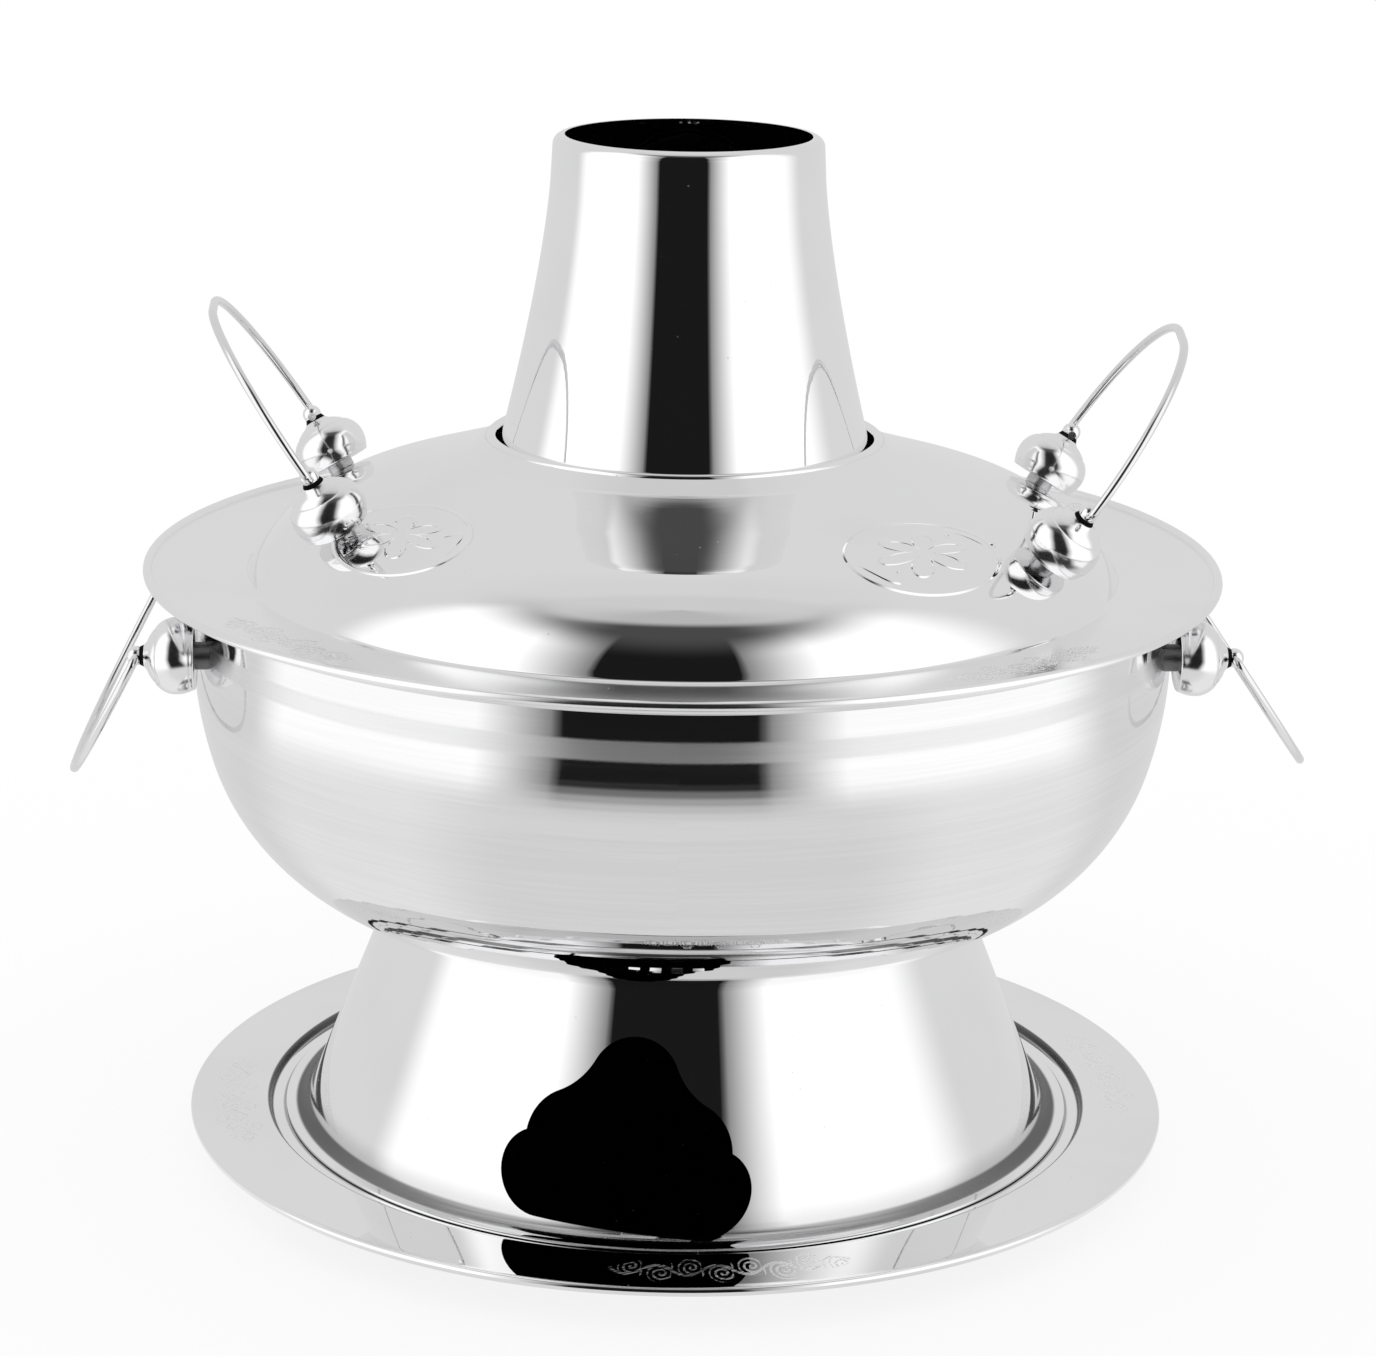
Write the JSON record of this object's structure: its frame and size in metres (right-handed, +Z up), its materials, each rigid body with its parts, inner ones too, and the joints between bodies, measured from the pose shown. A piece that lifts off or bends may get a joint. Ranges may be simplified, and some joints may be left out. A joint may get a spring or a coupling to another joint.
{
  "type": "chimney hot pot",
  "caption": "Round steel hot pot with a fire tube through its middle, a ring-shaped lid around a chimney sleeve, a conical stand with an air door, wire bails and a tray.",
  "frame": {"origin": "middle of the tray's underside, on the table", "axes": "+Z up along the chimney, -Y toward the viewer and the air door, +X along the line from the left pair of bails to the right pair"},
  "size_m": [0.3712, 0.32, 0.3095],
  "materials": {
    "polished_steel": "mirror polished stainless steel",
    "brushed_steel": "finely brushed around its axis",
    "satin_steel": "satin",
    "knob_steel": "mirror polished",
    "wire_steel": "polished drawn wire",
    "screw_steel": "plated",
    "grate_iron": "as cast, heat darkened"
  },
  "bodies": {
    "tray": {"tray": "polished_steel"},
    "pot": {"stand": "polished_steel", "bowl": "brushed_steel", "fire_tube": "satin_steel", "fire_grate": "grate_iron", "pot_knob_left_front": "knob_steel", "pot_knob_left_back": "knob_steel", "pot_knob_right_front": "knob_steel", "pot_knob_right_back": "knob_steel", "pot_knob_spacers": "satin_steel", "pot_knob_screws": "screw_steel", "pot_knob_washers": "screw_steel"},
    "chimney": {"chimney": "polished_steel"},
    "lid": {"lid": "polished_steel", "lid_ring": "satin_steel", "lid_knob_left_front": "knob_steel", "lid_knob_left_back": "knob_steel", "lid_knob_right_front": "knob_steel", "lid_knob_right_back": "knob_steel", "lid_knob_spacers": "satin_steel", "lid_knob_screws": "screw_steel", "lid_knob_washers": "screw_steel"},
    "pot_bail_left": {"pot_bail_left": "wire_steel"},
    "pot_bail_right": {"pot_bail_right": "wire_steel"},
    "lid_bail_left": {"lid_bail_left": "wire_steel"},
    "lid_bail_right": {"lid_bail_right": "wire_steel"}
  },
  "joints": [
    {"name": "pot_lift", "type": "slide", "parent": "tray", "child": "pot", "axis": [0, 0, 1], "range_m": [0, 0.05]},
    {"name": "chimney_lift", "type": "slide", "parent": "pot", "child": "chimney", "axis": [0, 0, 1], "range_m": [0, 0.12]},
    {"name": "lid_lift", "type": "slide", "parent": "pot", "child": "lid", "axis": [0, 0, 1], "range_m": [0, 0.145]},
    {"name": "pot_bail_left_swing", "type": "hinge", "parent": "pot", "child": "pot_bail_left", "pos_m": [-0.15862, -0.00748, 0.1648], "axis": [0.0471, -0.9989, 0], "range_deg": [-145, 27.5]},
    {"name": "pot_bail_right_swing", "type": "hinge", "parent": "pot", "child": "pot_bail_right", "pos_m": [0.15862, 0.00748, 0.1648], "axis": [-0.0471, 0.9989, 0], "range_deg": [-138, 34.5]},
    {"name": "lid_bail_left_swing", "type": "hinge", "parent": "lid", "child": "lid_bail_left", "pos_m": [-0.1103, -0.00612, 0.21734], "axis": [0.0908, -0.9957, 0.0192], "range_deg": [-98, 80]},
    {"name": "lid_bail_right_swing", "type": "hinge", "parent": "lid", "child": "lid_bail_right", "pos_m": [0.11621, -0.01168, 0.21383], "axis": [0.0379, 0.9984, 0.0416], "range_deg": [-98, 80]}
  ]
}
